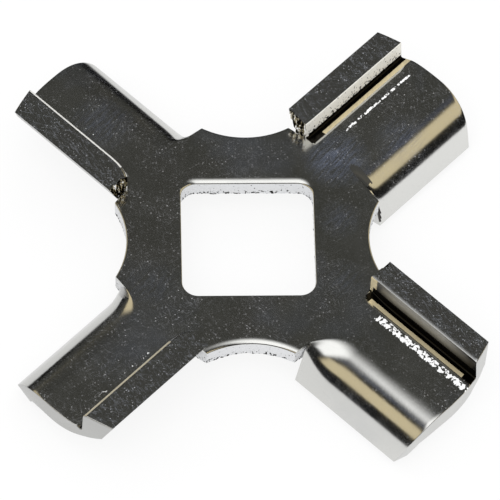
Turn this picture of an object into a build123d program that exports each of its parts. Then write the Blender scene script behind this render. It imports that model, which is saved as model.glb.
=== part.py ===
from build123d import *
import os
from math import cos, radians, sin, sqrt, tan

# Four-armed knife of a household meat grinder, pressed from one piece of steel sheet.
# Origin: on the axis of the square hole, in the plane of the flange edges that the knife stands on.
# Sizes are in millimetres. An arm is drawn along +X and turned to its place at the end.

# Blank
SHEET = 1.9
BLANK_RADIUS = 24.85
ARM_COUNT = 4
FIRST_ARM_ANGLE = 45.0

# Hub
HOLE_SIDE = 12.0
HOLE_CORNER_RADIUS = 1.45
HOLE_EDGE_BREAK = 0.15
HUB_WAIST = 10.95
NOTCH_RADIUS = 8.1
NOTCH_EDGE_ROLL = 0.3

# Where forming starts along an arm, and the slits that free the land and the flange from the hub
FORM_START = 11.5
FLANGE_SLIT_TIP = 3.9
SLIT_ANGLE = 8.5
NECK_OVERLAP = 0.2
NECK_INSET = 0.4

# Raised cutting land on the leading side of an arm
LAND_RISE = 2.2
LAND_EDGE = 6.1
LAND_INNER = 3.75
ROOT_LAND_INNER = 3.8
SHOULDER_RADIUS = 0.12
CLEARANCE_ANGLE = 21.5
LAND_UNDERSIDE = 0.05
BELLY_RISE = 0.7
ROOT_BELLY_RISE = 0.1
HEEL_SLOPE = 0.75

# Lip of the flat, drawn down to the foot of the wall of the land
LIP_START = 2.5
LIP_ANGLE = 20.0
ROOT_LIP_ANGLE = 4.0
WALL_FOOT_RADIUS = 0.2

# Flange rolled down on the trailing side of an arm
FLANGE_REACH = 5.8
FLANGE_DROP = 4.317
FLANGE_ANGLE = 64.0
BEND_RADIUS = 4.6
ROOT_FLANGE_ANGLE = 74.0
ROOT_BEND_RADIUS = 0.9
ROOT_INNER_RADIUS = 0.35
ROOT_LENGTH = 3.6
ROOT_STEPS = 4
ROOT_QUICKNESS = 2.5

# End of an arm: how far it leans out over the sheet, and the sheet that the wall of the land uses up
END_LEAN = 0.1
DRAW_START = 1.5
TOP_DRAW = 1.75
UNDERSIDE_DRAW = 1.1
TRIM_MARGIN = 0.9
TRIM_STEPS = 4

# Levels and turns that follow
ARM_TURN = 360.0 / ARM_COUNT
flange_angle = radians(FLANGE_ANGLE)
HUB_TOP = FLANGE_DROP + SHEET * cos(flange_angle)
HUB_BOTTOM = HUB_TOP - SHEET


def smooth(share):
    """Eases a share from 0 to 1, level at both ends."""
    share = min(max(share, 0.0), 1.0)
    return share * share * (3.0 - 2.0 * share)


def level_out(share):
    """Rises from 0 quickly at first, and levels out at 1."""
    return 1.0 - (1.0 - share) ** ROOT_QUICKNESS


def between(root, full, share):
    return root + (full - root) * share


class Bend:
    """Outer and inner lines of the rolled flange at one station, in the plane of the section."""

    def __init__(self, share):
        angle = radians(between(ROOT_FLANGE_ANGLE, FLANGE_ANGLE, share))
        self.angle = angle
        self.outer = between(ROOT_BEND_RADIUS, BEND_RADIUS, share)
        self.inner = between(ROOT_INNER_RADIUS, BEND_RADIUS - SHEET, share)
        self.tip = Vector(-FLANGE_REACH, -FLANGE_DROP)
        self.down = Vector(-cos(angle), -sin(angle))
        self.inward = Vector(sin(angle), -cos(angle))
        self.inner_tip = self.tip + self.inward * SHEET
        self.outer_corner = self.crossing(self.tip, 0.0)
        self.inner_corner = self.crossing(self.inner_tip, -SHEET)

    def crossing(self, point, level):
        """Where the flange line through a point meets a level of the flat sheet."""
        return Vector(point.X + (level - point.Y) / tan(self.angle), level)

    def ends(self, corner, radius):
        """Start of a bend on the flat, its middle, and its end on the flange line."""
        run = radius * tan(self.angle / 2)
        start = corner + Vector(run, 0)
        end = corner + self.down * run
        centre = Vector(start.X, corner.Y - radius)
        half = self.angle / 2
        middle = centre + Vector(-sin(half), cos(half)) * radius
        return start, middle, end


def arm_section(station):
    """Closed outline of an arm at one distance from the axis."""
    share = level_out((station - FORM_START) / ROOT_LENGTH)
    bend = Bend(share)
    outer_start, outer_middle, outer_end = bend.ends(bend.outer_corner, bend.outer)
    inner_start, inner_middle, inner_end = bend.ends(bend.inner_corner, bend.inner)

    wall = between(ROOT_LAND_INNER, LAND_INNER, share)
    lip_angle = radians(between(ROOT_LIP_ANGLE, LIP_ANGLE, share))
    lip_start = Vector(LIP_START, 0)
    lip_run = wall - WALL_FOOT_RADIUS * (1 + sin(lip_angle)) - LIP_START
    lip_end = lip_start + Vector(lip_run, -lip_run * tan(lip_angle / 2))
    wall_foot = Vector(wall, lip_end.Y + WALL_FOOT_RADIUS * cos(lip_angle))
    wall_top = Vector(wall, LAND_RISE - SHOULDER_RADIUS)
    shoulder = Vector(wall + SHOULDER_RADIUS, LAND_RISE - SHOULDER_RADIUS)
    shoulder_middle = shoulder + Vector(-1, 1).normalized() * SHOULDER_RADIUS
    land_top = shoulder + Vector(0, SHOULDER_RADIUS)
    cutting_edge = Vector(LAND_EDGE, LAND_RISE)
    heel = Vector(LAND_EDGE - (LAND_RISE + LAND_UNDERSIDE) * tan(radians(CLEARANCE_ANGLE)), -LAND_UNDERSIDE)
    belly = Vector(wall, -SHEET + between(ROOT_BELLY_RISE, BELLY_RISE, share))
    flat_bottom = Vector(0, -SHEET)

    plane = Plane(origin=(station, 0, HUB_TOP), x_dir=(0, 1, 0), z_dir=(1, 0, 0))
    with BuildSketch(plane) as sketch:
        with BuildLine():
            Line(outer_start, lip_start)
            lip = TangentArc(lip_start, lip_end, tangent=(1, 0))
            TangentArc(lip_end, wall_foot, tangent=lip % 1)
            Line(wall_foot, wall_top)
            ThreePointArc(wall_top, shoulder_middle, land_top)
            Line(land_top, cutting_edge)
            Line(cutting_edge, heel)
            Spline(heel, belly, flat_bottom, tangents=[(-1, -HEEL_SLOPE), (-1, 0)])
            Line(flat_bottom, inner_start)
            ThreePointArc(inner_start, inner_middle, inner_end)
            Line(inner_end, bend.inner_tip)
            Line(bend.inner_tip, bend.tip)
            Line(bend.tip, outer_end)
            ThreePointArc(outer_end, outer_middle, outer_start)
        make_face()
    return sketch.sketch.faces()[0]


def trim_line(top, bottom, top_distance, bottom_distance):
    """Line through the end face at one place across the arm, run past both faces of the sheet."""
    top_reach = sqrt(BLANK_RADIUS**2 - top_distance**2)
    bottom_reach = sqrt(BLANK_RADIUS**2 - bottom_distance**2) + END_LEAN
    upper = Vector(top_reach, top.X, top.Y + HUB_TOP)
    lower = Vector(bottom_reach, bottom.X, bottom.Y + HUB_TOP)
    past = (upper - lower) * (TRIM_MARGIN / (top - bottom).length)
    return upper + past, lower - past


def end_trim():
    """Solid past the end of an arm: its near side is the blank's round edge, bent with the sheet."""
    bend = Bend(1.0)
    start, _, end = bend.ends(bend.outer_corner, bend.outer)
    centre = Vector(start.X, -BEND_RADIUS)
    bend_run = BEND_RADIUS * flange_angle
    flange_run = (bend.tip - end).length
    land_width = LAND_EDGE - LAND_INNER
    lines = []
    for step in range(3, 0, -1):
        run = flange_run * step / 2
        top = end + bend.down * run
        distance = bend_run + run - start.X
        lines.append(trim_line(top, top + bend.inward * SHEET, distance, distance))
    for step in range(TRIM_STEPS, -1, -1):
        angle = flange_angle * step / TRIM_STEPS
        outward = Vector(-sin(angle), cos(angle))
        distance = BEND_RADIUS * angle - start.X
        top = centre + outward * BEND_RADIUS
        lines.append(trim_line(top, top - outward * SHEET, distance, distance))
    flat_places = [LAND_INNER * step / 3 for step in range(4)]
    land_places = [LAND_INNER + land_width * step / 2 for step in range(1, 4)]
    for place in flat_places + land_places:
        drawn = smooth((place - DRAW_START) / (LAND_INNER - DRAW_START))
        lifted = smooth((place - LAND_INNER) / land_width)
        under = between(-SHEET + BELLY_RISE * drawn, -LAND_UNDERSIDE, lifted)
        top = Vector(place, LAND_RISE * drawn)
        top_distance = place + TOP_DRAW * drawn
        lines.append(trim_line(top, Vector(place, under), top_distance, place + UNDERSIDE_DRAW * drawn))
    outside, inside = zip(*lines)
    face = Face.make_surface_from_curves(Edge.make_spline(outside), Edge.make_spline(inside))
    return Solid.extrude(face, Vector(BLANK_RADIUS, 0, 0))


def make_arm():
    """Root where the forming grows out of the flat plate, then the fully formed arm to its trimmed end."""
    full_start = FORM_START + ROOT_LENGTH
    stations = [FORM_START + ROOT_LENGTH * step / ROOT_STEPS for step in range(ROOT_STEPS + 1)]
    root = loft([arm_section(station) for station in stations])
    reach = BLANK_RADIUS + TRIM_MARGIN - full_start
    full = extrude(arm_section(full_start), amount=reach, dir=(1, 0, 0))
    return root + (full - end_trim())


def slit_end(tip):
    """Where a slit edge, run on through the notch, meets the line midway between two arms."""
    slope = tan(radians(SLIT_ANGLE))
    half_turn = tan(radians(ARM_TURN / 2))
    along = (FORM_START + slope * tip) / (1 + slope * half_turn)
    return along, along * half_turn


def make_hub():
    """Flat plate with its slit edges, square hole and notches, ready for the arms."""
    neck = FORM_START + NECK_OVERLAP
    back_along, back_across = slit_end(FLANGE_SLIT_TIP)
    outline = [
        (back_along, -back_across),
        (FORM_START, -FLANGE_SLIT_TIP),
        (FORM_START, -FLANGE_SLIT_TIP + NECK_INSET),
        (neck, -FLANGE_SLIT_TIP + 2 * NECK_INSET),
        (neck, LIP_START - 2 * NECK_INSET),
        (FORM_START, LIP_START - NECK_INSET),
        (FORM_START, ROOT_LAND_INNER),
        slit_end(ROOT_LAND_INNER),
    ]
    corners = []
    for index in range(ARM_COUNT):
        turn = FIRST_ARM_ANGLE + index * ARM_TURN
        corners += [Vector(*point).rotate(Axis.Z, turn) for point in outline]
    with BuildPart() as hub:
        with BuildSketch(Plane.XY.offset(HUB_BOTTOM)):
            with BuildLine():
                Polyline(*corners, close=True)
            make_face()
            with PolarLocations(HUB_WAIST + NOTCH_RADIUS, ARM_COUNT):
                Circle(NOTCH_RADIUS, mode=Mode.SUBTRACT)
            RectangleRounded(HOLE_SIDE, HOLE_SIDE, HOLE_CORNER_RADIUS, mode=Mode.SUBTRACT)
        extrude(amount=SHEET)
        chamfer(hub.faces().sort_by(Axis.Z)[-1].inner_wires()[0].edges(), HOLE_EDGE_BREAK)
        top_outline = hub.faces().sort_by(Axis.Z)[-1].outer_wire()
        fillet(top_outline.edges().filter_by(GeomType.CIRCLE), NOTCH_EDGE_ROLL)
    return hub.part


arm = make_arm()
knife = make_hub()
for index in range(ARM_COUNT):
    knife += arm.rotate(Axis.Z, FIRST_ARM_ANGLE + index * ARM_TURN)

os.makedirs("parts", exist_ok=True)
export_step(knife, "parts/grinder_knife.step")
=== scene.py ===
from math import atan2, cos, radians, sin, sqrt, tan

import bmesh
import bpy
from mathutils import Matrix, Vector, noise


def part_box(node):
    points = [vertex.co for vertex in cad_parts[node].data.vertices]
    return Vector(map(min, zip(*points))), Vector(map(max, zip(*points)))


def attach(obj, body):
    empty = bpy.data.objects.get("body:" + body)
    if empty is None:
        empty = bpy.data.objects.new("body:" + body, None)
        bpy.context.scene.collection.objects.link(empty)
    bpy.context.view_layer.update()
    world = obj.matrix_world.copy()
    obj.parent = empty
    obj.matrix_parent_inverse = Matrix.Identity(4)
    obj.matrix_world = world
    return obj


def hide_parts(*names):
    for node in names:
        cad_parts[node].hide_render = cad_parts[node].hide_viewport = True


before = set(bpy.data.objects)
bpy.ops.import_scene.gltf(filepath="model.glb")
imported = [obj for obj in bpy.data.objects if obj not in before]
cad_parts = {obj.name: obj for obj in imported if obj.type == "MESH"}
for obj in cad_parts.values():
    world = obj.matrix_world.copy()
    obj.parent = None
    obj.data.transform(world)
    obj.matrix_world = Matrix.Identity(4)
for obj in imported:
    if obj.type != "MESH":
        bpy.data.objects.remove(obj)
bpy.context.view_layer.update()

# Knife of a household meat grinder: pressed from one steel sheet, chrome plated and polished, lands ground.
# An arm is modelled along +X and turned to its place. Lengths are in metres, written in millimetres times MM.
MM = 0.001
KNIFE = "grinder_knife"
LOWEST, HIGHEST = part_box(KNIFE)

# Sheet and blank
SHEET = 1.9 * MM
BLANK_RADIUS = 24.85 * MM
ARM_COUNT = 4
FIRST_ARM_ANGLE = radians(45.0)
QUARTER = radians(360.0 / ARM_COUNT)

# Raised land
LAND_RISE = 2.2 * MM
LAND_EDGE = 6.1 * MM
LAND_INNER = 3.75 * MM
ROOT_LAND_INNER = 3.8 * MM
# Wall and shoulder radius of each arm, as the four differ a little
ARM_WALLS = (3.75 * MM, 3.24 * MM, 3.22 * MM, 3.75 * MM)
SHOULDER_RADII = (0.1 * MM, 0.38 * MM, 0.38 * MM, 0.1 * MM)
CLEARANCE_ANGLE = radians(21.5)
LAND_UNDERSIDE = 0.05 * MM
BELLY_RISE = 0.7 * MM
HEEL_SLOPE = 0.75
HUB_TOP = HIGHEST.z - LAND_RISE

# Lip of the flat, drawn down to the foot of the wall
LIP_START = 2.55 * MM
LIP_CREASE = 2.75 * MM
LIP_DEPTH = 0.27 * MM
WALL_FOOT_RADIUS = 0.16 * MM

# Rolled flange
FLANGE_REACH = 5.8 * MM
FLANGE_DROP = 4.317 * MM
FLANGE_ANGLE = radians(64.0)
BEND_RADIUS = 4.6 * MM
ROOT_FLANGE_ANGLE = radians(74.0)
ROOT_BEND_RADIUS = 0.9 * MM
ROOT_INNER_RADIUS = 0.35 * MM

# Stations along an arm
FORM_START = 11.5 * MM
ROOT_LENGTH = 3.6 * MM
ROOT_STEPS = 24
FULL_STEPS = 36
# How quickly the root of each arm comes to its full form
ROOT_QUICKNESS = (12.0, 4.0, 4.5, 2.2)

# Round end of an arm
END_LEAN = 0.1 * MM
DRAW_START = 1.5 * MM
TOP_DRAW = 1.75 * MM
UNDERSIDE_DRAW = 1.1 * MM
END_ROLL = 0.07 * MM
END_ROLL_STEPS = 3

# Hub plate
HOLE_HALF = 6.0 * MM
HOLE_CORNER_RADIUS = 1.45 * MM
HUB_WAIST = 10.95 * MM
NOTCH_RADIUS = 8.1 * MM
SLIT_ANGLE = radians(8.5)

# Sheared edges: the sheet is drawn in at the top, burnished below that, and broken off at the bottom.
# A ragged surface has a least depth, a second grain so many times finer, and the strength of that grain.
DIE_ROLL_WIDTH = 0.8 * MM
DIE_ROLL_DEPTH = 0.28 * MM
DIE_ROLL_STEPS = 8
BREAK_START = 0.55
BREAK_DEPTH = 0.09 * MM
BREAK_GRAIN = 0.35 * MM
BREAK_RAGGED = (0.5, 2.3, 0.5)
TEAR_DEPTH = 0.22 * MM
TEAR_GRAIN = 0.45 * MM
TEAR_FADE = 0.5 * MM
TEAR_SHIFT = 7.3
TEAR_RAGGED = (0.4, 2.1, 0.6)

# A hair's breadth beside a border, and how near two vertices or levels are that count as the same
HAIR = 0.01 * MM
SAME_SPOT = 0.00001 * MM
SAME_LEVEL = 0.0001 * MM
MERGE_DISTANCE = 0.001 * MM
# Faces that bend less than this make one flat face, and edges that bend more than this stay sharp
FLAT_WITHIN = radians(0.05)
SHARP_FROM = radians(32.0)


def smooth(share):
    """Eases a share from 0 to 1, level at both ends."""
    share = min(max(share, 0.0), 1.0)
    return share * share * (3.0 - 2.0 * share)


def between(first, last, share):
    """Value at a share of the way from the first to the last."""
    return first + (last - first) * share


def line(start, end, count):
    """Points of a straight stretch, after its start."""
    return [start.lerp(end, step / count) for step in range(1, count + 1)]


def arc(centre, radius, start, end, count):
    """Points of a round stretch, after its start; angles run from upright towards the flange."""
    angles = [between(start, end, step / count) for step in range(1, count + 1)]
    return [centre + Vector((-sin(angle), cos(angle))) * radius for angle in angles]


def curve(start, start_pull, end, end_pull, count):
    """Points of a cubic stretch with a direction at each end, after its start."""
    points = []
    for step in range(1, count + 1):
        t = step / count
        rest = 1.0 - t
        near = start * (rest * rest * (1.0 + 2.0 * t)) + start_pull * (t * rest * rest)
        far = end * (t * t * (3.0 - 2.0 * t)) - end_pull * (t * t * rest)
        points.append(near + far)
    return points


# How many steps each stretch of the section is divided into: the same for both faces of the sheet.
# The stretch from the bend to the wall is the neck: at the root of the arm it lies against the hub.
FLANGE_STEPS = 8
BEND_STEPS = 28
FLAT_STEPS = 26
LIP_STEPS = 14
FOOT_STEPS = 6
WALL_LINE_STEPS = 8
SHOULDER_STEPS = 6
LAND_STEPS = 14
EDGE_STEPS = 16
# The land's steps are closer together at its shoulder
LAND_CROWDING = 1.7
NECK_FIRST = FLANGE_STEPS + BEND_STEPS
NECK_LAST = NECK_FIRST + FLAT_STEPS + LIP_STEPS
FACE_STEPS = NECK_LAST + FOOT_STEPS + WALL_LINE_STEPS + SHOULDER_STEPS + LAND_STEPS


def lip_line(share, foot):
    """The flat's lip: level, then drawn down past a soft crease to the start of the wall's foot."""
    crease = LIP_CREASE - LIP_START
    slope = LIP_DEPTH * share / (foot - LIP_START - crease / 2.0)
    points = []
    for step in range(1, LIP_STEPS + 1):
        run = (foot - LIP_START) * step / LIP_STEPS
        fall = run * run / (2.0 * crease) if run < crease else run - crease / 2.0
        points.append(Vector((LIP_START + run, -slope * fall)))
    return points


def arm_faces(share, full_wall=LAND_INNER, shoulder_radius=SHOULDER_RADII[0]):
    """Upper and lower face of the sheet across an arm, from the flange edge to the cutting edge."""
    angle = between(ROOT_FLANGE_ANGLE, FLANGE_ANGLE, share)
    outer = between(ROOT_BEND_RADIUS, BEND_RADIUS, share)
    inner = between(ROOT_INNER_RADIUS, BEND_RADIUS - SHEET, share)
    tip = Vector((-FLANGE_REACH, -FLANGE_DROP))
    inner_tip = tip + Vector((sin(angle), -cos(angle))) * SHEET
    outer_start = tip.x - tip.y / tan(angle) + outer * tan(angle / 2)
    inner_start = inner_tip.x - (inner_tip.y + SHEET) / tan(angle) + inner * tan(angle / 2)
    outer_centre = Vector((outer_start, -outer))
    inner_centre = Vector((inner_start, -SHEET - inner))
    outward = Vector((-sin(angle), cos(angle)))

    upper = [tip]
    upper += line(tip, outer_centre + outward * outer, FLANGE_STEPS)
    upper += arc(outer_centre, outer, angle, 0.0, BEND_STEPS)
    upper += line(upper[-1], Vector((LIP_START, 0.0)), FLAT_STEPS)
    wall = between(ROOT_LAND_INNER, full_wall, share)
    foot = WALL_FOOT_RADIUS * share
    upper += lip_line(share, wall - foot)
    upper += arc(upper[-1] + Vector((0.0, foot)), foot, radians(180.0), radians(270.0), FOOT_STEPS)
    shoulder = Vector((wall + shoulder_radius, LAND_RISE - shoulder_radius))
    upper += line(upper[-1], shoulder - Vector((shoulder_radius, 0.0)), WALL_LINE_STEPS)
    upper += arc(shoulder, shoulder_radius, radians(90.0), 0.0, SHOULDER_STEPS)
    land_start = upper[-1]
    cutting_edge = Vector((LAND_EDGE, LAND_RISE))
    upper += [land_start.lerp(cutting_edge, (step / LAND_STEPS) ** LAND_CROWDING)
              for step in range(1, LAND_STEPS + 1)]

    lower = [inner_tip]
    lower += line(inner_tip, inner_centre + outward * inner, FLANGE_STEPS)
    lower += arc(inner_centre, inner, angle, 0.0, BEND_STEPS)
    flat_end = Vector((0.0, -SHEET))
    lower += line(lower[-1], flat_end, FLAT_STEPS)
    belly = Vector((wall, -SHEET + BELLY_RISE * share))
    heel = Vector((LAND_EDGE - (LAND_RISE + LAND_UNDERSIDE) * tan(CLEARANCE_ANGLE), -LAND_UNDERSIDE))
    slope = (heel - flat_end) * 0.5 * share + Vector((wall, 0.0)) * (1.0 - share)
    lower += curve(flat_end, Vector((wall, 0.0)), belly, slope, LIP_STEPS)
    lower += curve(belly, slope, heel, Vector((1.0, HEEL_SLOPE)) * (heel.x - belly.x), FACE_STEPS - NECK_LAST)
    return upper, lower


def arm_ring(share, index):
    """Closed outline of an arm: upper face, front flank of the land, lower face, edge of the flange."""
    upper, lower = arm_faces(share, ARM_WALLS[index], SHOULDER_RADII[index])
    front = line(upper[-1], lower[-1], EDGE_STEPS)[:-1]
    back = line(lower[0], upper[0], EDGE_STEPS)[:-1]
    return upper + front + lower[::-1] + back


def end_reach(point):
    """How far an arm reaches at a point of its section: the round blank, measured along the bent sheet."""
    bend_start = FLANGE_DROP / tan(FLANGE_ANGLE) - FLANGE_REACH + BEND_RADIUS * tan(FLANGE_ANGLE / 2)
    if point.x > bend_start:
        drawn = smooth((point.x - DRAW_START) / (LAND_INNER - DRAW_START))
        lifted = smooth((point.x - LAND_INNER) / (LAND_EDGE - LAND_INNER))
        top = LAND_RISE * drawn
        under = between(-SHEET + BELLY_RISE * drawn, -LAND_UNDERSIDE, lifted)
        depth = (top - point.y) / (top - under)
        distances = abs(point.x) + TOP_DRAW * drawn, abs(point.x) + UNDERSIDE_DRAW * drawn
    else:
        spoke = point - Vector((bend_start, -BEND_RADIUS))
        angle = min(atan2(-spoke.x, spoke.y), FLANGE_ANGLE)
        outward = Vector((-sin(angle), cos(angle)))
        past = spoke.dot(Vector((-cos(angle), -sin(angle))))
        depth = (BEND_RADIUS - spoke.dot(outward)) / SHEET
        distances = (BEND_RADIUS * angle + past - bend_start,) * 2
    upper, lower = (sqrt(BLANK_RADIUS**2 - distance**2) for distance in distances)
    return between(upper, lower + END_LEAN, min(max(depth, 0.0), 1.0))


def select(*pieces):
    """Selects these pieces alone, as an operator acts on all that is selected; the last one is active."""
    for item in bpy.context.selected_objects:
        item.select_set(False)
    for piece in pieces:
        piece.select_set(True)
        bpy.context.view_layer.objects.active = piece


def edit(piece):
    """Opens one piece for editing, with nothing else selected, and gives its mesh."""
    select(piece)
    bpy.ops.object.mode_set(mode="EDIT")
    bpy.ops.mesh.select_mode(type="VERT")
    return bmesh.from_edit_mesh(piece.data)


def close_edit(piece):
    """Writes the edited mesh back and leaves edit mode."""
    bmesh.update_edit_mesh(piece.data)
    bpy.ops.object.mode_set(mode="OBJECT")


def ring_piece(name, points):
    """Starts a piece as an open circle whose vertices are moved to an outline."""
    select()
    bpy.ops.mesh.primitive_circle_add(vertices=len(points), radius=SHEET, fill_type="NOTHING")
    piece = bpy.context.active_object
    piece.name = name
    mesh = edit(piece)
    place = mesh.verts.layers.int.new("place")
    for index, (vertex, point) in enumerate(zip(mesh.verts, points)):
        vertex[place] = index
        vertex.co = point
    bmesh.update_edit_mesh(piece.data)
    return piece


def extrude_ring(piece, points):
    """Extrudes the selected ring and moves the new one to its outline."""
    bpy.ops.mesh.extrude_edges_move(TRANSFORM_OT_translate={"value": (SHEET, 0.0, 0.0)})
    mesh = bmesh.from_edit_mesh(piece.data)
    place = mesh.verts.layers.int["place"]
    for vertex in mesh.verts:
        if vertex.select:
            vertex.co = points[vertex[place]]
    bmesh.update_edit_mesh(piece.data)


def close_arm_end(piece, ring, first, last):
    """Closes an open end of an arm between two places of its section, in rows across the sheet."""
    mesh = bmesh.from_edit_mesh(piece.data)
    bpy.ops.mesh.select_all(action="DESELECT")
    place = mesh.verts.layers.int["place"]
    upper = range(first, last)
    opposite = 2 * FACE_STEPS + EDGE_STEPS
    lower = range(opposite - last, opposite - first)
    bpy.ops.mesh.select_mode(type="EDGE")
    for edge in mesh.edges:
        pair = sorted(vertex[place] for vertex in edge.verts)
        on_ring = all((vertex.co - ring[vertex[place]]).length < SAME_SPOT for vertex in edge.verts)
        if on_ring and pair[1] - pair[0] == 1 and (pair[0] in upper or pair[0] in lower):
            edge.select_set(True)
    bmesh.update_edit_mesh(piece.data)
    bpy.ops.mesh.bridge_edge_loops(number_cuts=EDGE_STEPS - 1, interpolation="LINEAR")
    bpy.ops.mesh.select_mode(type="VERT")


def rolled_ring(outline, ends, turn):
    """Outline of an arm's end, part of the way round its rolled edges."""
    last = len(outline)
    rolled = []
    for spot, point in enumerate(outline):
        partner = outline[(2 * FACE_STEPS + EDGE_STEPS - spot) % last]
        on_face = spot % (FACE_STEPS + EDGE_STEPS) <= FACE_STEPS
        inward = (partner - point).normalized() if on_face else Vector((0.0, 0.0))
        moved = point + inward * END_ROLL * (1.0 - cos(turn))
        rolled.append(Vector((ends[spot] + END_ROLL * sin(turn), moved.x, HUB_TOP + moved.y)))
    for corner in (FACE_STEPS, 2 * FACE_STEPS + EDGE_STEPS):
        near, far = rolled[corner], rolled[(corner + EDGE_STEPS) % last]
        for row in range(1, EDGE_STEPS):
            rolled[corner + row] = near.lerp(far, row / EDGE_STEPS)
    return rolled


def make_arm(index):
    """Lofts the root of an arm out of the flat plate, draws the arm out to the blank's edge and closes it."""
    def at(u, outline):
        return [Vector((u, point.x, HUB_TOP + point.y)) for point in outline]

    root = at(FORM_START, arm_ring(0.0, index))
    piece = ring_piece(f"arm_{index}", root)
    bpy.ops.mesh.select_all(action="SELECT")
    for step in range(1, ROOT_STEPS + 1):
        part = step / ROOT_STEPS
        share = 1.0 - (1.0 - part) ** ROOT_QUICKNESS[index]
        extrude_ring(piece, at(FORM_START + ROOT_LENGTH * part, arm_ring(share, index)))
    outline = arm_ring(1.0, index)
    full_start = FORM_START + ROOT_LENGTH
    ends = [end_reach(point) - END_ROLL for point in outline]
    for step in range(1, FULL_STEPS + 1):
        part = step / FULL_STEPS
        ring = [Vector((between(full_start, end, part), point.x, HUB_TOP + point.y))
                for point, end in zip(outline, ends)]
        extrude_ring(piece, ring)
    for step in range(1, END_ROLL_STEPS + 1):
        rolled = rolled_ring(outline, ends, radians(90.0) * step / END_ROLL_STEPS)
        extrude_ring(piece, rolled)
    close_arm_end(piece, rolled, 0, FACE_STEPS)
    close_arm_end(piece, root, 0, NECK_FIRST)
    close_arm_end(piece, root, NECK_LAST, FACE_STEPS)
    close_edit(piece)
    return piece


def slit_crossing(radius, tip):
    """Where a slit edge, run out from its tip, meets the round notch of a given radius."""
    centre = (HUB_WAIST + NOTCH_RADIUS) * sin(QUARTER / 2)
    run = Vector((-sin(SLIT_ANGLE), cos(SLIT_ANGLE)))
    offset = tip - Vector((centre, centre))
    b = offset.dot(run)
    c = offset.length_squared - radius**2
    return tip + run * (-b - sqrt(b * b - c))


NOTCH_STEPS = 26
SLIT_STEPS = 6
HOLE_SIDE_STEPS = 34
HOLE_CORNER_STEPS = 10
EDGE_ROWS = EDGE_STEPS - DIE_ROLL_STEPS


def edge_row(row, roll=1.0):
    """How far a row of a sheared edge lies in from the wall, and how far down, for a share of the roll."""
    if row <= DIE_ROLL_STEPS:
        turn = radians(90.0) * row / DIE_ROLL_STEPS
        return DIE_ROLL_WIDTH * roll * (1.0 - sin(turn)), DIE_ROLL_DEPTH * roll * (1.0 - cos(turn))
    return 0.0, between(DIE_ROLL_DEPTH * roll, SHEET, (row - DIE_ROLL_STEPS) / EDGE_ROWS)


# The punch drew the sheet in most at the front notch, whose halves are given by arm and side, and along the
# back of the square hole, from a share of its half width
FRONT_NOTCH = ((2, 1), (3, -1))
SLIGHT_ROLL = 0.3
HOLE_ROLL = 0.12
HOLE_BACK = 0.75


def half_outline(row, index, side):
    """One row from the middle of a notch along its arc and the slit, in an arm's own directions."""
    offset, rolled = edge_row(row, 1.0 if (index, side) in FRONT_NOTCH else SLIGHT_ROLL)
    level = SHEET * row / EDGE_STEPS
    radius = NOTCH_RADIUS + offset
    notch_centre = (HUB_WAIST + NOTCH_RADIUS) * Vector((cos(QUARTER / 2), sin(QUARTER / 2)))
    upper, lower = arm_faces(0.0)
    neck = NECK_LAST if side > 0 else NECK_FIRST
    tip = upper[neck].lerp(lower[neck], row / EDGE_STEPS)
    corner = slit_crossing(radius, Vector((FORM_START, abs(upper[neck].x))))
    spoke = corner - notch_centre
    last = atan2(spoke.y, spoke.x)
    first = QUARTER / 2 - radians(180.0)
    points = []
    for step in range(NOTCH_STEPS):
        angle = between(first, last, step / NOTCH_STEPS)
        spot = notch_centre + Vector((cos(angle), sin(angle))) * radius
        points.append(Vector((spot.x, spot.y * side, HUB_TOP - rolled)))
    start = Vector((corner.x, corner.y * side, HUB_TOP - rolled))
    end = Vector((FORM_START, tip.x, HUB_TOP - level))
    return points + [start.lerp(end, step / SLIT_STEPS) for step in range(SLIT_STEPS + 1)]


def hub_ring(row):
    """One row of the hub's outer edge: notches, slits and the necks that the arms grow from."""
    upper, lower = arm_faces(0.0)
    share = row / EDGE_STEPS
    neck = [upper[index].lerp(lower[index], share) for index in range(NECK_FIRST + 1, NECK_LAST)]
    neck = [Vector((FORM_START, point.x, HUB_TOP + point.y)) for point in neck]
    points = []
    for index in range(ARM_COUNT):
        turn = Matrix.Rotation(FIRST_ARM_ANGLE + QUARTER * index, 3, "Z")
        front = half_outline(row, index, 1)[:0:-1]
        points += [turn @ point for point in half_outline(row, index, -1) + neck + front]
    return points


def hole_ring(row):
    """One row of the edge of the square hole."""
    points = []
    for wall, far in zip(hole_outline(0.0), hole_outline(DIE_ROLL_WIDTH)):
        roll = between(HOLE_ROLL, 1.0, smooth((wall.y / HOLE_HALF - HOLE_BACK) / (1.0 - HOLE_BACK)))
        offset, rolled = edge_row(row, roll)
        spot = wall.lerp(far, offset / DIE_ROLL_WIDTH)
        points.append(Vector((spot.x, spot.y, HUB_TOP - rolled)))
    return points


def hole_outline(offset):
    """Outline of the square hole, wider by an offset."""
    half = HOLE_HALF + offset
    radius = HOLE_CORNER_RADIUS + offset
    straight = half - radius
    points = []
    for index in range(ARM_COUNT):
        turn = Matrix.Rotation(QUARTER * index, 2)
        side = [Vector((half, between(-straight, straight, step / HOLE_SIDE_STEPS)))
                for step in range(HOLE_SIDE_STEPS)]
        corner = [Vector((straight + radius * cos(QUARTER * step / HOLE_CORNER_STEPS),
                          straight + radius * sin(QUARTER * step / HOLE_CORNER_STEPS)))
                  for step in range(HOLE_CORNER_STEPS)]
        points += [turn @ point for point in side + corner]
    return points


def ragged(place, least, finer, finer_share):
    """Depth of an uneven break: a coarse grain and a share of a finer one, over a least depth."""
    return least + noise.noise(place) + finer_share * noise.noise(place * finer)


def broken(point, outward, depth):
    """Moves a point of a sheared wall into the metal where the sheet broke off."""
    share = smooth((depth / SHEET - BREAK_START) / (1.0 - BREAK_START))
    return point + outward * BREAK_DEPTH * share * ragged(point / BREAK_GRAIN, *BREAK_RAGGED)


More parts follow.
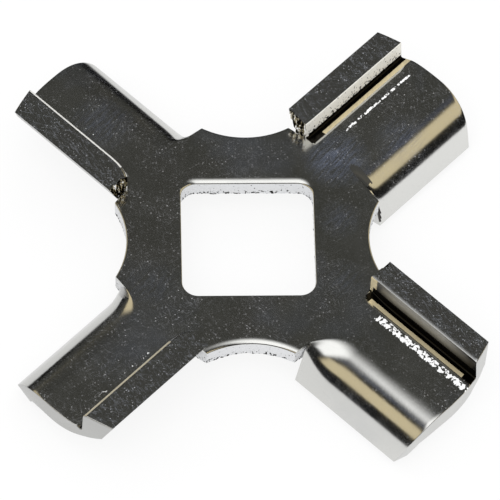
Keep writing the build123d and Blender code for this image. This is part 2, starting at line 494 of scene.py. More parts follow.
# Slits and necks stay smooth, this far before the neck and beside it
SMOOTH_BEFORE = 0.4 * MM
SMOOTH_BESIDE = 1.2 * MM


def on_slit(point):
    """Tells a point on a slit or a neck from one on a notch or the hole."""
    along = (abs(point.x) + abs(point.y)) * cos(QUARTER / 2)
    across = abs(abs(point.x) - abs(point.y)) * cos(QUARTER / 2)
    return along > FORM_START - SMOOTH_BEFORE and across < ROOT_LAND_INNER + SMOOTH_BESIDE


def roughen(points, row, inward):
    """Breaks the lower part of a sheared wall away from its burnished upper part."""
    _, depth = edge_row(row)
    moved = []
    for point in points:
        outward = Vector((point.x, point.y, 0.0)).normalized() * inward
        moved.append(point if on_slit(point) else broken(point, outward, depth))
    return moved


def sheared_edge(name, ring, inward):
    """One sheared edge of the hub, from the top face over the die roll and down the wall."""
    piece = ring_piece(name, ring(0))
    bpy.ops.mesh.select_all(action="SELECT")
    for row in range(1, EDGE_STEPS + 1):
        extrude_ring(piece, roughen(ring(row), row, inward))
    close_edit(piece)
    return piece


def on_neck(face):
    """Tells a face of the hub's edge that lies on a neck."""
    spots = [(abs(vertex.co.x) + abs(vertex.co.y)) * cos(QUARTER / 2) for vertex in face.verts]
    return all(abs(spot - FORM_START) < SAME_LEVEL for spot in spots)


def fill_level(hub, level):
    """Closes the plate on one side, between the outer edge and the hole."""
    mesh = bmesh.from_edit_mesh(hub.data)
    bpy.ops.mesh.select_mode(type="EDGE")
    bpy.ops.mesh.select_all(action="DESELECT")
    for item in mesh.edges:
        if item.is_boundary and all(abs(vertex.co.z - level) < SAME_LEVEL for vertex in item.verts):
            item.select_set(True)
    bmesh.update_edit_mesh(hub.data)
    bpy.ops.mesh.fill(use_beauty=True)
    bpy.ops.mesh.dissolve_limited(angle_limit=FLAT_WITHIN)


def make_hub():
    """Flat plate with a square hole and four round notches: both sheared edges, joined by the two faces."""
    hub = sheared_edge("hub", hub_ring, -1.0)
    hole = sheared_edge("hole", hole_ring, 1.0)
    select(hole, hub)
    bpy.ops.object.join()
    edit(hub)
    for level in (HUB_TOP, HUB_TOP - SHEET):
        fill_level(hub, level)
    mesh = bmesh.from_edit_mesh(hub.data)
    bpy.ops.mesh.select_mode(type="FACE")
    bpy.ops.mesh.select_all(action="DESELECT")
    for face in mesh.faces:
        face.select_set(on_neck(face))
    bmesh.update_edit_mesh(hub.data)
    bpy.ops.mesh.delete(type="FACE")
    bpy.ops.mesh.select_mode(type="VERT")
    close_edit(hub)
    return hub


def tear(arm, seed):
    """Roughens the inner end of the land, where the sheet was torn out of the slit."""
    mesh = edit(arm)
    for vertex in mesh.verts:
        u, v, z = vertex.co
        if u < FORM_START + HAIR and v > ROOT_LAND_INNER:
            place = Vector((u, v, z)) / TEAR_GRAIN + Vector((seed, 0.0, 0.0))
            fade = smooth((v - ROOT_LAND_INNER) / TEAR_FADE)
            vertex.co.x += TEAR_DEPTH * ragged(place, *TEAR_RAGGED) * fade
    close_edit(arm)


def apply_modifier(piece, kind, **settings):
    """Adds a modifier to one piece and applies it."""
    select(piece)
    modifier = piece.modifiers.new(kind.lower(), kind)
    for key, value in settings.items():
        setattr(modifier, key, value)
    bpy.ops.object.modifier_apply(modifier=modifier.name)


def linear(code):
    """Linear colour of an sRGB hex value."""
    parts = [int(code[index:index + 2], 16) / 255.0 for index in (1, 3, 5)]
    return [part / 12.92 if part <= 0.04045 else ((part + 0.055) / 1.055) ** 2.4 for part in parts] + [1.0]


def node(tree, kind, inputs=(), **settings):
    """Adds a node with its settings. An input is fed by a node or one of its sockets, or set to a value."""
    added = tree.nodes.new("ShaderNode" + kind)
    for key, value in settings.items():
        setattr(added, key, value)
    for socket, value in dict(inputs).items():
        source = value.outputs[0] if isinstance(value, bpy.types.Node) else value
        if isinstance(source, bpy.types.NodeSocket):
            tree.links.new(source, added.inputs[socket])
        else:
            added.inputs[socket].default_value = source
    return added


def new_material(name):
    """A material with an empty tree of nodes."""
    material = bpy.data.materials.new(name)
    material.use_nodes = True
    material.node_tree.nodes.clear()
    return material, material.node_tree


def finish_material(tree, shader):
    """Ends a material with its shader."""
    node(tree, "OutputMaterial", {"Surface": shader})


# Grain of the finishes. Real scratches and specks are finer: these are as coarse as they need to be to show.
SCRATCH_WIDTH = 0.07 * MM
SCRATCH_LENGTH = 0.7 * MM
SCRATCH_GRAIN = (1.0 / SCRATCH_LENGTH, 1.0 / SCRATCH_WIDTH, 1.0 / SCRATCH_LENGTH)
UPRIGHT_GRAIN = (1.0 / SCRATCH_WIDTH, 1.0 / SCRATCH_WIDTH, 1.0 / SCRATCH_LENGTH)
SCRATCH_ANGLES = (radians(35.0), radians(-25.0), radians(80.0))
SPECK_SIZE = 0.3 * MM
LAND_SPECK_SIZE = 0.24 * MM
LAND_PATCHES = 1.5 * MM
WORN_SIZE = 4.0 * MM
# Waves and fine peel of the plate: length and depth
WAVE_LENGTH = 5.0 * MM
WAVE_DEPTH = 0.02 * MM
PEEL_LENGTH = 0.3 * MM
PEEL_DEPTH = 0.004 * MM
GLOSS_SIZE = 3.0 * MM
GLINT_SIZE = 0.24 * MM
# Smears left by wiping: their direction and grain, and the patches, by place, radius and strength
WIPE_ANGLE = radians(-50.0)
WIPE_GRAIN = (1.0 / (1.2 * MM), 1.0 / (0.16 * MM), 1.0 / (1.2 * MM))
WIPE_SIZE = 7.0 * MM
WIPE_CORE = 0.2
WIPED_PATCHES = (
    (8.2 * MM, 8.6 * MM, 3.4 * MM, 0.5),
    (14.5 * MM, 10.6 * MM, 3.0 * MM, 0.24),
    (-13.0 * MM, 12.4 * MM, 3.4 * MM, 0.2),
    (8.3 * MM, 2.0 * MM, 2.2 * MM, 0.16),
    (8.6 * MM, -4.6 * MM, 2.6 * MM, 0.12),
    (-9.0 * MM, -5.0 * MM, 3.4 * MM, 0.12),
    (-12.0 * MM, -12.6 * MM, 3.0 * MM, 0.1),
)


def clouds(tree, place, size, detail, low, high, first=0.0, last=1.0):
    """Cloudy pattern of a given size: what lies between two of its levels is spread from first to last."""
    pattern = node(tree, "TexNoise", {"Vector": place, "Scale": 1.0 / size, "Detail": detail})
    return node(tree, "MapRange", {
        "Value": pattern, "From Min": low, "From Max": high, "To Min": first, "To Max": last})


def scratches(tree, place, angle, low=0.62, high=0.72):
    """One family of fine straight scratches, from nothing to full depth."""
    turned = node(tree, "Mapping", {"Vector": place, "Rotation": (0.0, 0.0, angle)})
    drawn = node(tree, "VectorMath", {0: turned, 1: SCRATCH_GRAIN}, operation="MULTIPLY")
    return clouds(tree, drawn, 1.0, 2.0, low, high)


def specks(tree, place, size, share):
    """Small round specks, one to a cell, of which only a share is left."""
    cells = node(tree, "TexVoronoi", {"Vector": place, "Scale": 1.0 / size})
    spots = node(tree, "MapRange", {
        "Value": cells.outputs["Distance"], "From Min": 0.1, "From Max": 0.28, "To Min": 1.0, "To Max": 0.0})
    chance = node(tree, "SeparateColor", {"Color": cells.outputs["Color"]})
    kept = node(tree, "MapRange", {"Value": chance, "From Min": 1.0 - share, "From Max": 1.05 - share})
    return node(tree, "Math", {0: spots, 1: kept}, operation="MULTIPLY")


def wiped(tree, place):
    """Patches wiped dull: very faint all over, and stronger in smears at their own places."""
    turned = node(tree, "Mapping", {"Vector": place, "Rotation": (0.0, 0.0, WIPE_ANGLE)})
    drawn = node(tree, "VectorMath", {0: turned, 1: WIPE_GRAIN}, operation="MULTIPLY")
    smears = clouds(tree, drawn, 1.0, 5.0, 0.38, 0.68, 0.1, 1.0)
    share = clouds(tree, place, WIPE_SIZE, 3.0, 0.54, 0.75, 0.0, 0.1)
    for x, y, radius, strength in WIPED_PATCHES:
        away = node(tree, "VectorMath", {0: place, 1: (x, y, HUB_TOP)}, operation="DISTANCE")
        patch = node(tree, "MapRange", {"Value": away.outputs["Value"], "From Min": WIPE_CORE * radius,
                                        "From Max": radius, "To Min": strength, "To Max": 0.0})
        smeared = node(tree, "Math", {0: patch, 1: smears}, operation="MULTIPLY")
        share = node(tree, "Math", {0: share, 1: smeared}, operation="MAXIMUM")
    return share


def wrinkle_glints(tree, place):
    """Painted white glints where the vertices say that the sheet is wrinkled."""
    pattern = node(tree, "TexNoise", {"Vector": place, "Scale": 1.0 / GLINT_SIZE, "Detail": 1.0})
    glint_strength = node(tree, "Attribute", attribute_name="wrinkle_glint")
    height = node(tree, "Math", {0: pattern, 1: glint_strength.outputs["Fac"]}, operation="ADD")
    return node(tree, "MapRange", {"Value": height, "From Min": 1.3, "From Max": 1.38})


def dulled(tree, shader, marks):
    """Lays marks over a polished finish: each scatters the light in its own colour and strength."""
    for share, code in marks:
        scatter = node(tree, "BsdfDiffuse", {"Color": linear(code)})
        shader = node(tree, "MixShader", {0: share, 1: shader, 2: scatter})
    return shader


def chrome_plate():
    """Bright chrome plating on tumbled sheet: a near mirror, a little wavy, with fine scratches, pale specks,
    bluish wiped patches, and painted white glints in strips where the sheet is wrinkled."""
    material, tree = new_material("bright_chrome_plate")
    place = node(tree, "TexCoord").outputs["Object"]
    waves = node(tree, "TexNoise", {"Vector": place, "Scale": 1.0 / WAVE_LENGTH, "Detail": 1.0})
    wavy = node(tree, "Bump", {"Height": waves, "Strength": 1.0, "Distance": WAVE_DEPTH})
    peel = node(tree, "TexNoise", {"Vector": place, "Scale": 1.0 / PEEL_LENGTH, "Detail": 2.0})
    peeled = node(tree, "Bump", {"Height": peel, "Normal": wavy, "Strength": 0.5, "Distance": PEEL_DEPTH})
    gloss = clouds(tree, place, GLOSS_SIZE, 4.0, 0.3, 0.7, 0.11, 0.19)
    polished = node(tree, "BsdfPrincipled", {
        "Base Color": linear("#DEDEDB"), "Metallic": 1.0, "Roughness": gloss, "Normal": peeled})
    crossed = 0.0
    for angle in SCRATCH_ANGLES:
        family = scratches(tree, place, angle)
        crossed = node(tree, "Math", {0: crossed, 1: family}, operation="MAXIMUM")
    depth = clouds(tree, place, WORN_SIZE, 3.0, 0.4, 0.65, 0.02, 0.13)
    lines = node(tree, "Math", {0: crossed, 1: depth}, operation="MULTIPLY")
    dots = specks(tree, place, SPECK_SIZE, 0.4)
    strength = clouds(tree, place, WORN_SIZE, 3.0, 0.4, 0.65, 0.06, 0.3)
    spots = node(tree, "Math", {0: dots, 1: strength}, operation="MULTIPLY")
    # The last marks are painted highlights: white glints on the wrinkled strips.
    marks = [(wiped(tree, place), "#6A7388"), (lines, "#D8DAE0"), (spots, "#E6E6E6"),
             (wrinkle_glints(tree, place), "#FFFFFF")]
    finish_material(tree, dulled(tree, polished, marks))
    return material


def ground_face():
    """Lands ground flat and lightly plated: near mirrors, scored in two directions and with pale specks."""
    material, tree = new_material("ground_chromed_land")
    place = node(tree, "TexCoord").outputs["Object"]
    polished = node(tree, "BsdfPrincipled", {
        "Base Color": linear("#D8D8D6"), "Metallic": 1.0, "Roughness": 0.17})
    crossed = node(tree, "Math", {0: scratches(tree, place, radians(60.0), 0.58, 0.7),
                                  1: scratches(tree, place, radians(12.0), 0.6, 0.7)}, operation="MAXIMUM")
    lines = node(tree, "Math", {0: crossed, 1: 0.16}, operation="MULTIPLY")
    dots = specks(tree, place, LAND_SPECK_SIZE, 0.6)
    strength = clouds(tree, place, LAND_PATCHES, 2.0, 0.4, 0.6, 0.1, 0.35)
    spots = node(tree, "Math", {0: dots, 1: strength}, operation="MULTIPLY")
    finish_material(tree, dulled(tree, polished, [(lines, "#B8BECB"), (spots, "#E6E8EC")]))
    return material


def sheared_face():
    """Cut edge of the sheet: burnished by the punch in upright streaks, plated over, satin."""
    material, tree = new_material("plated_sheared_edge")
    place = node(tree, "TexCoord").outputs["Object"]
    upright = node(tree, "Mapping", {"Vector": place, "Scale": UPRIGHT_GRAIN})
    streaks = node(tree, "TexNoise", {"Vector": upright, "Scale": 1.0, "Detail": 3.0})
    bump = node(tree, "Bump", {"Height": streaks, "Strength": 0.5, "Distance": 0.02 * MM})
    shader = node(tree, "BsdfPrincipled", {
        "Base Color": linear("#D2D2D0"), "Metallic": 1.0, "Roughness": 0.34, "Normal": bump})
    finish_material(tree, shader)
    return material


# Crags of a torn end; its streaks and the pits of a dragged wall, by width, width and height
TEAR_CRAGS = 0.3 * MM
TORN_STREAKS = (1.0 / (0.25 * MM), 1.0 / (0.25 * MM), 1.0 / (1.2 * MM))
WALL_PITS = (1.0 / (0.22 * MM), 1.0 / (0.22 * MM), 1.0 / (0.3 * MM))


def torn_face():
    """Torn end of a land: plated over a rough break, with painted glints in white and painted shade in black.
    """
    material, tree = new_material("plated_torn_edge")
    place = node(tree, "TexCoord").outputs["Object"]
    crags = node(tree, "TexNoise", {"Vector": place, "Scale": 1.0 / TEAR_CRAGS, "Detail": 3.0})
    bump = node(tree, "Bump", {"Height": crags, "Strength": 1.0, "Distance": 0.12 * MM})
    shader = node(tree, "BsdfPrincipled", {
        "Base Color": linear("#D6CFB8"), "Metallic": 1.0, "Roughness": 0.15, "Normal": bump})
    upright = node(tree, "VectorMath", {0: place, 1: TORN_STREAKS}, operation="MULTIPLY")
    # Painted shade in black patches and painted glints in white patches.
    marks = [(clouds(tree, upright, 1.0, 2.0, 0.46, 0.5), "#0E0C08"),
             (clouds(tree, upright, 1.0, 2.0, 0.4, 0.36), "#FFFFFF")]
    finish_material(tree, dulled(tree, shader, marks))
    return material


def rough_wall(name, code, low, high, pitted):
    """Wall where the punch dragged: pale and grainy, with dark pits that thin out between two levels."""
    material, tree = new_material(name)
    place = node(tree, "TexCoord").outputs["Object"]
    upright = node(tree, "VectorMath", {0: place, 1: WALL_PITS}, operation="MULTIPLY")
    crags = node(tree, "TexNoise", {"Vector": upright, "Scale": 1.0, "Detail": 2.0})
    height = node(tree, "SeparateXYZ", {"Vector": place}).outputs[2]
    low_down = node(tree, "MapRange", {
        "Value": height, "From Min": low, "From Max": high, "To Min": pitted, "To Max": 0.0})
    sunk = node(tree, "Math", {0: crags, 1: low_down}, operation="SUBTRACT")
    pits = node(tree, "MapRange", {
        "Value": sunk, "From Min": 0.28, "From Max": 0.34, "To Min": 1.0, "To Max": 0.0})
    bump = node(tree, "Bump", {"Height": crags, "Strength": 0.8, "Distance": 0.05 * MM})
    pale = node(tree, "BsdfPrincipled", {
        "Base Color": linear(code), "Metallic": 0.1, "Roughness": 0.5, "Normal": bump})
    finish_material(tree, dulled(tree, pale, [(pits, "#15130F")]))
    return material


def satin(name, code, metallic, roughness):
    """Sheet with one even colour and a satin gloss, used for painted reflections, highlights, glints and
    shade.
    """
    material, tree = new_material(name)
    shader = node(tree, "BsdfPrincipled", {
        "Base Color": linear(code), "Metallic": metallic, "Roughness": roughness})
    finish_material(tree, shader)
    return material


# Middle of the painted sheen on one wall, how far from it the grey fades, and between which levels it sets in
SHEEN_MIDDLE = (14.9 * MM, -9.6 * MM, HUB_TOP + LAND_RISE / 2)
SHEEN_REACH = (3.0 * MM, 6.2 * MM)
SHEEN_LEVELS = (HUB_TOP + 0.5 * MM, HUB_TOP + 1.5 * MM)


def painted_wall_shade_and_sheen():
    """Wall of a land with a painted sheen in its middle: satin grey there, and painted shade at its foot and
    both ends.
    """
    material, tree = new_material("painted_wall_shade_and_sheen")
    place = node(tree, "TexCoord").outputs["Object"]
    height = node(tree, "SeparateXYZ", {"Vector": place}).outputs[2]
    high_up = node(tree, "MapRange", {
        "Value": height, "From Min": SHEEN_LEVELS[0], "From Max": SHEEN_LEVELS[1]})
    away = node(tree, "VectorMath", {0: place, 1: SHEEN_MIDDLE}, operation="DISTANCE")
    central = node(tree, "MapRange", {"Value": away.outputs["Value"], "From Min": SHEEN_REACH[0],
                                      "From Max": SHEEN_REACH[1], "To Min": 1.0, "To Max": 0.0})
    sheen_share = node(tree, "Math", {0: high_up, 1: central}, operation="MULTIPLY")
    # Painted shade in the dark colour, painted sheen in the grey.
    colour = node(tree, "Mix", {0: sheen_share, 6: linear("#24221F"), 7: linear("#9C9B96")}, data_type="RGBA")
    shader = node(tree, "BsdfPrincipled", {
        "Base Color": colour.outputs[2], "Metallic": 0.6, "Roughness": 0.32})
    finish_material(tree, shader)
    return material


# Number of each finish
CHROME, GROUND, SHEARED, TORN, ROUGH, PAINTED_REFLECTION, PAINTED_SHADE, PAINTED_HIGHLIGHT, WALL_SHADE_AND_SHEEN, PUNCHED, PAINTED_ROOT_SHADE, PAINTED_TAN_GLINT = range(12)


def make_finishes():
    """All finishes, in the order of their numbers."""
    return [
        chrome_plate(),
        ground_face(),
        sheared_face(),
        torn_face(),
        rough_wall("dragged_wall", "#F4F2EA", HUB_TOP + 0.3 * MM, HUB_TOP + 1.5 * MM, 0.14),
        # Painted reflection: warm beige for the band mirrored on a lip, on one wall and in a flange root's
        # glint
        satin("painted_beige_reflection", "#EBDCB4", 0.4, 0.3),
        # Painted shade: a dark colour for the shade at the foot of a wall, past the ends of a lip and at a
        # flange root
        satin("painted_dark_shade", "#2C2A26", 1.0, 0.25),
        # Painted highlight: a pale line on the shoulder of a land, for the floor mirrored there
        satin("painted_pale_highlight", "#F6F5F0", 0.2, 0.32),
        painted_wall_shade_and_sheen(),
        rough_wall("plated_hub_edge", "#DCDDDF", HUB_TOP - 1.75 * MM, HUB_TOP - 1.2 * MM, 0.15),
        # Painted shade: a dark grey at the root of a flange that is bent in sharply
        satin("painted_root_shade", "#3B3B38", 0.0, 0.32),
        # Painted glint: a beige line on the shoulder of a land
        satin("painted_tan_glint", "#CFC6AE", 0.4, 0.32),
    ]


# Finishes of the walls. One wall has a painted beige reflection as far as the place from which its painted
# shade and sheen start.
WALL_FINISHES = (ROUGH, ROUGH, CHROME, WALL_SHADE_AND_SHEEN)
SHEEN_WALL_FROM = 12.2 * MM
# Shoulders with a painted highlight or a painted glint of their own, and where it starts along the arm
PAINTED_SHOULDERS = {1: (PAINTED_HIGHLIGHT, 12.6 * MM), 2: (PAINTED_TAN_GLINT, 13.6 * MM)}
# Lips with a painted beige reflection, and where it starts and ends along the arm; past its ends they have
# painted shade
PAINTED_LIPS = {0: (13.1 * MM, 24.6 * MM), 3: (12.2 * MM, 23.4 * MM)}
LIP_LEVELS = (-0.5 * MM, -0.01 * MM)
# Painted shade at the foot of each wall: where it starts across and along the arm, and how high it rises
FOOT_SHADE_START = 3.22 * MM
WALL_MARGIN = 0.1 * MM
FOOT_SHADE_FROM = (11.9 * MM, 12.7 * MM, 12.0 * MM, 11.8 * MM)
FOOT_SHADE_RISE = (0.2 * MM, 0.2 * MM, 0.4 * MM, 0.8 * MM)
# Flange root of the first arm, bent in sharply, with painted shade: its length beside the edge and beside the
# flat, the border between the two, where the flat begins, and where a painted beige glint begins and ends
SHARP_ROOT_ARM = 0
SHARP_ROOT_LENGTH = 0.6 * MM
SHADED_ROOT_LENGTH = 1.2 * MM
SHADED_ROOT_EDGE = -3.5 * MM
SHADED_ROOT_START = -1.2 * MM
ROOT_GLINT_SPAN = (-4.9 * MM, -3.9 * MM)
# How deep below the top a ground face and a rolled edge may lie, and where a torn end starts across the arm
GROUND_DEPTH = 0.13 * MM
ROLLED_DEPTH = 0.3 * MM
TORN_FROM = 3.3 * MM
# How far a face leans to a side
LEVEL, MOSTLY, HALF, PARTLY, SLIGHTLY, BARELY = 0.95, 0.6, 0.5, 0.3, 0.12, 0.02


def sharp_root_finish(u, v, facing):
    """Finish at the root of the flange that is bent in sharply, and None elsewhere."""
    # Painted shade beside the edge, with a painted beige glint in it, and a painted dark grey shade beside
    # the flat.
    if v < SHADED_ROOT_EDGE and u < FORM_START + SHARP_ROOT_LENGTH and facing.x > SLIGHTLY:
        return PAINTED_REFLECTION if ROOT_GLINT_SPAN[0] < v < ROOT_GLINT_SPAN[1] else PAINTED_SHADE
    if SHADED_ROOT_EDGE < v < SHADED_ROOT_START and u < FORM_START + SHADED_ROOT_LENGTH and facing.x > BARELY:
        return PAINTED_ROOT_SHADE
    return None


def land_finish(u, v, rise, facing, arm):
    """Finish of a face of the land, its wall or the lip, and None elsewhere."""
    beside_wall = FOOT_SHADE_START < v < LAND_INNER + WALL_MARGIN
    # Painted shade at the foot of the wall.
    if beside_wall and u > FOOT_SHADE_FROM[arm] and LIP_LEVELS[0] < rise < FOOT_SHADE_RISE[arm]:
        return PAINTED_SHADE
    # The wall; one wall has a painted beige reflection before its painted shade and sheen.
    if facing.y < -MOSTLY and v > LAND_INNER - WALL_MARGIN and rise > 0.0:
        return PAINTED_REFLECTION if WALL_FINISHES[arm] == WALL_SHADE_AND_SHEEN and u < SHEEN_WALL_FROM else WALL_FINISHES[arm]
    # The lip has a painted beige reflection between its ends, and painted shade past them.
    if arm in PAINTED_LIPS and facing.z > HALF and v > LIP_CREASE and LIP_LEVELS[0] < rise < LIP_LEVELS[1]:
        start, end = PAINTED_LIPS[arm]
        return PAINTED_REFLECTION if start < u < end else PAINTED_SHADE
    return None


def face_zone(face, arm):
    """Which finish a face has, by its place and the way it faces; the hub has no arm number."""
    u, v, z = face.calc_center_median()
    facing = face.normal
    rise = z - HUB_TOP
    if arm is None:
        return PUNCHED if abs(facing.z) < HALF and rise < -ROLLED_DEPTH else CHROME
    if rise > LAND_RISE - GROUND_DEPTH and facing.z > LEVEL:
        return GROUND
    # Some shoulders have a painted highlight or a painted glint.
    if arm in PAINTED_SHOULDERS and rise > LAND_RISE - SHOULDER_RADII[arm] and facing.y < -PARTLY:
        finish, start = PAINTED_SHOULDERS[arm]
        if u > start:
            return finish
    # Painted shade and a painted glint at the sharp flange root.
    if arm == SHARP_ROOT_ARM and facing.z > SLIGHTLY:
        finish = sharp_root_finish(u, v, facing)
        if finish is not None:
            return finish
    if facing.x < -HALF and u < FORM_START + TEAR_DEPTH:
        return TORN if v > TORN_FROM else SHEARED
    if facing.x > MOSTLY or (facing.y > MOSTLY and v > LAND_INNER):
        return SHEARED
    finish = land_finish(u, v, rise, facing, arm)
    if finish is not None:
        return finish
    if v < -FLANGE_REACH + SHEET and z < LOWEST.z + SHEET * cos(FLANGE_ANGLE) and facing.z < -PARTLY:
        return SHEARED
    return CHROME


def set_zones(piece, materials, arm):
    """Turns all faces of a piece outwards, shades them smooth and gives each its finish."""
    mesh = edit(piece)
    bpy.ops.mesh.select_all(action="SELECT")
    bpy.ops.mesh.normals_make_consistent(inside=False)
    mesh.normal_update()
    for face in mesh.faces:
        face.material_index = face_zone(face, arm)
        face.smooth = True
    close_edit(piece)
    for material in materials:
        piece.data.materials.append(material)


# Lands worn soft towards their wall: which, how wide and how deep
SOFT_SHOULDER_ARMS = (3,)
SOFT_SHOULDER_WIDTH = 0.55 * MM
SOFT_SHOULDER_DEPTH = 0.11 * MM
SOFT_SHOULDER_FROM = HUB_TOP + 0.2 * LAND_RISE


def soften_shoulder(arm):
    """Rolls the land off towards its wall, as one of the lands is worn."""
    mesh = edit(arm)
    for vertex in mesh.verts:
        v, z = vertex.co.y, vertex.co.z
        if LAND_INNER - HAIR < v < LAND_INNER + SOFT_SHOULDER_WIDTH and z > SOFT_SHOULDER_FROM:
            share = 1.0 - (v - LAND_INNER) / SOFT_SHOULDER_WIDTH
            rise = (z - HUB_TOP) / LAND_RISE
            vertex.co.z -= SOFT_SHOULDER_DEPTH * share**2 * smooth(rise)
    close_edit(arm)


# Strip of painted glints where the sheet has fine wrinkles, on the flat beside the lip of each arm: its place
# across the arm, half width, both ends along the arm and strength
WRINKLE_GLINTS = (
    (1.72 * MM, 0.18 * MM, 14.2 * MM, 24.0 * MM, 0.88),
    (1.9 * MM, 0.2 * MM, 15.0 * MM, 22.0 * MM, 0.6),
    (2.0 * MM, 0.2 * MM, 14.0 * MM, 23.0 * MM, 0.65),
    (2.12 * MM, 0.42 * MM, 13.2 * MM, 25.4 * MM, 0.87),
)
GLINT_FADE = 0.8 * MM
GLINT_SPREAD = 1.6
GLINT_DEPTH = 0.3 * MM


def mark_wrinkle_glints(arm, place, half_width, start, end, strength):
    """Notes on each vertex of an arm how strong the painted glints of the wrinkled sheet are there, for the
    finish to read.
    """
    mesh = edit(arm)
    wrinkle_glint = mesh.verts.layers.float.new("wrinkle_glint")
    for vertex in mesh.verts:
        u, v, z = vertex.co
        across = smooth(GLINT_SPREAD - abs(v - place) / half_width)
        along = smooth((u - start) / GLINT_FADE) * smooth((end - u) / GLINT_FADE)
        vertex[wrinkle_glint] = strength * across * along if z > HUB_TOP - GLINT_DEPTH else 0.0
    close_edit(arm)


def make_knife(materials):
    """Hub and arms joined row by row into one closed shell, as the knife is one piece of sheet."""
    knife = make_hub()
    set_zones(knife, materials, None)
    arms = []
    for index in range(ARM_COUNT):
        part = make_arm(index)
        mark_wrinkle_glints(part, *WRINKLE_GLINTS[index])
        tear(part, TEAR_SHIFT * index)
        if index in SOFT_SHOULDER_ARMS:
            soften_shoulder(part)
        set_zones(part, materials, index)
        part.data.transform(Matrix.Rotation(FIRST_ARM_ANGLE + QUARTER * index, 4, "Z"))
        arms.append(part)
    select(*arms, knife)
    bpy.ops.object.join()
    knife.name = "pressed_knife"
    edit(knife)
    bpy.ops.mesh.select_all(action="SELECT")
    bpy.ops.mesh.remove_doubles(threshold=MERGE_DISTANCE)
    bpy.ops.mesh.normals_make_consistent(inside=False)
    close_edit(knife)
    bpy.ops.object.shade_smooth_by_angle(angle=SHARP_FROM, keep_sharp_edges=False)
    apply_modifier(knife, "WEIGHTED_NORMAL", mode="FACE_AREA", weight=50, keep_sharp=True)
    return knife


# Camera: a long lens, tilted a little about its own axis, as the photograph was taken
CAMERA_AIM = Vector((-0.08, -1.2, 5.15)) * MM
CAMERA_AZIMUTH = radians(-3.515)
CAMERA_ELEVATION = radians(57.82)
CAMERA_DISTANCE = 461.5 * MM
CAMERA_ROLL = radians(2.63)
CAMERA_LENS = 369.7
CAMERA_SHIFT = (0.00502, -0.0002)


def make_camera():
    """The camera of the photograph."""
    back = Vector((sin(CAMERA_AZIMUTH) * cos(CAMERA_ELEVATION), -cos(CAMERA_AZIMUTH) * cos(CAMERA_ELEVATION),
                   sin(CAMERA_ELEVATION)))
    camera = bpy.data.objects.new("camera", bpy.data.cameras.new("camera"))
    bpy.context.scene.collection.objects.link(camera)
    right = Vector((0.0, 0.0, 1.0)).cross(back).normalized()
    up = back.cross(right)
    upright = Matrix((right, up, back)).transposed().to_4x4()
    camera.matrix_world = (Matrix.Translation(CAMERA_AIM + back * CAMERA_DISTANCE) @ upright
                           @ Matrix.Rotation(CAMERA_ROLL, 4, "Z"))
    camera.data.lens = CAMERA_LENS
    camera.data.shift_x, camera.data.shift_y = CAMERA_SHIFT
    camera.data.clip_start = 10.0 * MM
    camera.data.clip_end = 10.0
    bpy.context.scene.camera = camera


# Studio: a dark room with a warm panel on each side and a soft box above, to the left and in front.
# A band of a ray's direction has a low level, a high one and a softness. A panel is where two bands cross.
# The back wall sets in between two depths, up to a share of its colour.
CEILING = (0.76, 2.0, 0.03)
BACK_WALL = (0.1, 2.0, 0.1)
BACK_WALL_DEPTHS = (0.15, 0.5)
BACK_WALL_SHARE = 0.8
RIGHT_PANEL = (0.45, 2.0, 0.12)
RIGHT_PANEL_HEIGHT = (0.36, 0.73, 0.03)
LEFT_PANEL = (-2.0, -0.45, 0.12)
LEFT_PANEL_HEIGHT = (0.35, 0.69, 0.03)
HAZE_HEIGHT = (0.77, 0.84, 0.03)
HAZE_DEPTH = (-0.3, 0.25, 0.1)
# The soft box lies on a level plane above. Rays that rise less than this count as rising this much.
LEAST_RISE = 0.02
BOX_WIDTH = (-0.55, 0.2, 0.14)
BOX_DEPTH = (-1.2, 0.12, 0.24)
BOX_COLOUR = (1.3, 1.3, 1.3, 1.0)
WHITE = (1.0, 1.0, 1.0, 1.0)
# Floor, and the part of it that the metal sees lit: a round with a straight back edge, soft rims, and a half
# width over which it brightens to the right
FLOOR_HALF = 1.5
PAPER_GLOW = 0.8
LIT_RADIUS = 40.0 * MM
LIT_RIM = 8.0 * MM
LIT_BACK = 27.0 * MM
LIT_BACK_RIM = 6.0 * MM
LIT_HALF = 30.0 * MM
# Lamp at the place of the soft box; its strength is in watts for each square metre
LAMP_HEIGHT = 0.6
LAMP_PLACE = (-0.10, -0.27)
LAMP_SIZE = (0.42, 0.54)
LAMP_STRENGTH = 5.34072


def band(tree, value, low, high, soft):
    """One between two levels, nothing outside them, with soft borders."""
    rise = node(tree, "MapRange", {"Value": value, "From Min": low - soft, "From Max": low + soft},
                interpolation_type="SMOOTHSTEP")
    fall = node(tree, "MapRange", {"Value": value, "From Min": high - soft, "From Max": high + soft,
                                   "To Min": 1.0, "To Max": 0.0}, interpolation_type="SMOOTHSTEP")
    return node(tree, "Math", {0: rise, 1: fall}, operation="MULTIPLY")


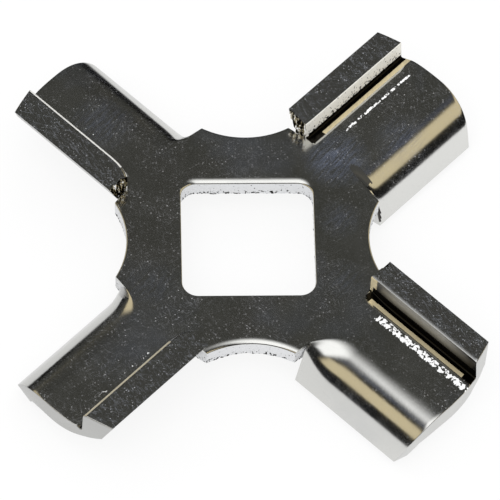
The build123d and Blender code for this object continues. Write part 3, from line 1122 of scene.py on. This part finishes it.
def make_world():
    """The room that the metal mirrors. All other rays see plain white."""
    world = bpy.data.worlds.new("studio")
    bpy.context.scene.world = world
    world.use_nodes = True
    tree = world.node_tree
    tree.nodes.clear()
    direction = node(tree, "TexCoord").outputs["Generated"]
    x, y, z = node(tree, "SeparateXYZ", {"Vector": direction}).outputs
    behind = node(tree, "MapRange", {"Value": y, "From Min": BACK_WALL_DEPTHS[0],
                                     "From Max": BACK_WALL_DEPTHS[1], "To Max": BACK_WALL_SHARE})
    back = node(tree, "Math", {0: behind, 1: band(tree, z, *BACK_WALL)}, operation="MULTIPLY")
    lit = node(tree, "Math", {0: band(tree, z, *CEILING), 1: back}, operation="MAXIMUM")
    room = node(tree, "Mix", {0: lit, 6: linear("#0A0A08"), 7: linear("#3E3E3A")}, data_type="RGBA")
    upward = node(tree, "Math", {0: z, 1: LEAST_RISE}, operation="MAXIMUM")
    sideways = node(tree, "Math", {0: x, 1: upward}, operation="DIVIDE")
    forward = node(tree, "Math", {0: y, 1: upward}, operation="DIVIDE")
    layers = [
        (x, RIGHT_PANEL, z, RIGHT_PANEL_HEIGHT, linear("#DCCDA8")),
        (x, LEFT_PANEL, z, LEFT_PANEL_HEIGHT, linear("#DCCDA8")),
        (z, HAZE_HEIGHT, y, HAZE_DEPTH, linear("#40444F")),
        (sideways, BOX_WIDTH, forward, BOX_DEPTH, BOX_COLOUR),
    ]
    for first, first_band, second, second_band, colour in layers:
        one, other = band(tree, first, *first_band), band(tree, second, *second_band)
        crossing = node(tree, "Math", {0: one, 1: other}, operation="MULTIPLY")
        room = node(tree, "Mix", {0: crossing, 6: room.outputs[2], 7: colour}, data_type="RGBA")
    rays = node(tree, "LightPath")
    glossy = node(tree, "Background", {"Color": room.outputs[2]})
    plain = node(tree, "Background", {"Color": WHITE, "Strength": 1.0})
    mixed = node(tree, "MixShader", {0: rays.outputs["Is Glossy Ray"], 1: plain, 2: glossy})
    node(tree, "OutputWorld", {"Surface": mixed})


def make_floor():
    """White paper that keeps the knife's shadow. The metal sees it lit around the knife only, brighter on the
    right, and dark beyond."""
    select()
    bpy.ops.mesh.primitive_plane_add(size=2 * FLOOR_HALF)
    floor = bpy.context.active_object
    floor.name = "floor"
    material, tree = new_material("white_paper")
    x, y, _ = node(tree, "SeparateXYZ", {"Vector": node(tree, "TexCoord").outputs["Object"]}).outputs
    across = node(tree, "MapRange", {"Value": x, "From Min": -LIT_HALF, "From Max": LIT_HALF})
    seen = node(tree, "Mix", {0: across, 6: linear("#DCDCDC"), 7: linear("#FFFFFF")}, data_type="RGBA")
    spot = node(tree, "CombineXYZ", {"X": x, "Y": y})
    radius = node(tree, "VectorMath", {0: spot}, operation="LENGTH")
    rim = node(tree, "MapRange", {
        "Value": radius.outputs["Value"], "From Min": LIT_RADIUS, "From Max": LIT_RADIUS + LIT_RIM})
    far = node(tree, "MapRange", {"Value": y, "From Min": LIT_BACK, "From Max": LIT_BACK + LIT_BACK_RIM})
    beyond = node(tree, "Math", {0: rim, 1: far}, operation="MAXIMUM")
    seen = node(tree, "Mix", {0: beyond, 6: seen.outputs[2], 7: linear("#101010")}, data_type="RGBA")
    rays = node(tree, "LightPath")
    lit = node(tree, "BsdfDiffuse", {"Color": linear("#F4F4F4")})
    white = node(tree, "Emission", {"Color": WHITE, "Strength": 1.0})
    paper = node(tree, "MixShader", {0: PAPER_GLOW, 1: lit, 2: white})
    mirrored = node(tree, "Emission", {"Color": seen.outputs[2]})
    mixed = node(tree, "MixShader", {0: rays.outputs["Is Glossy Ray"], 1: paper, 2: mirrored})
    finish_material(tree, mixed)
    floor.data.materials.append(material)


def make_lamp():
    """Soft light from the place of the soft box, which the metal doesn't mirror a second time."""
    light = bpy.data.lights.new("soft_box", "AREA")
    light.shape = "RECTANGLE"
    light.size, light.size_y = LAMP_SIZE
    light.energy = LAMP_STRENGTH * LAMP_SIZE[0] * LAMP_SIZE[1]
    lamp = bpy.data.objects.new("soft_box", light)
    lamp.visible_glossy = False
    place = Vector((*LAMP_PLACE, LAMP_HEIGHT))
    lamp.matrix_world = Matrix.Translation(place) @ place.to_track_quat("Z", "Y").to_matrix().to_4x4()
    bpy.context.scene.collection.objects.link(lamp)


make_camera()
knife = make_knife(make_finishes())
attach(knife, "root")
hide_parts(KNIFE)
make_floor()
make_world()
make_lamp()
bpy.context.scene.view_settings.view_transform = "Standard"
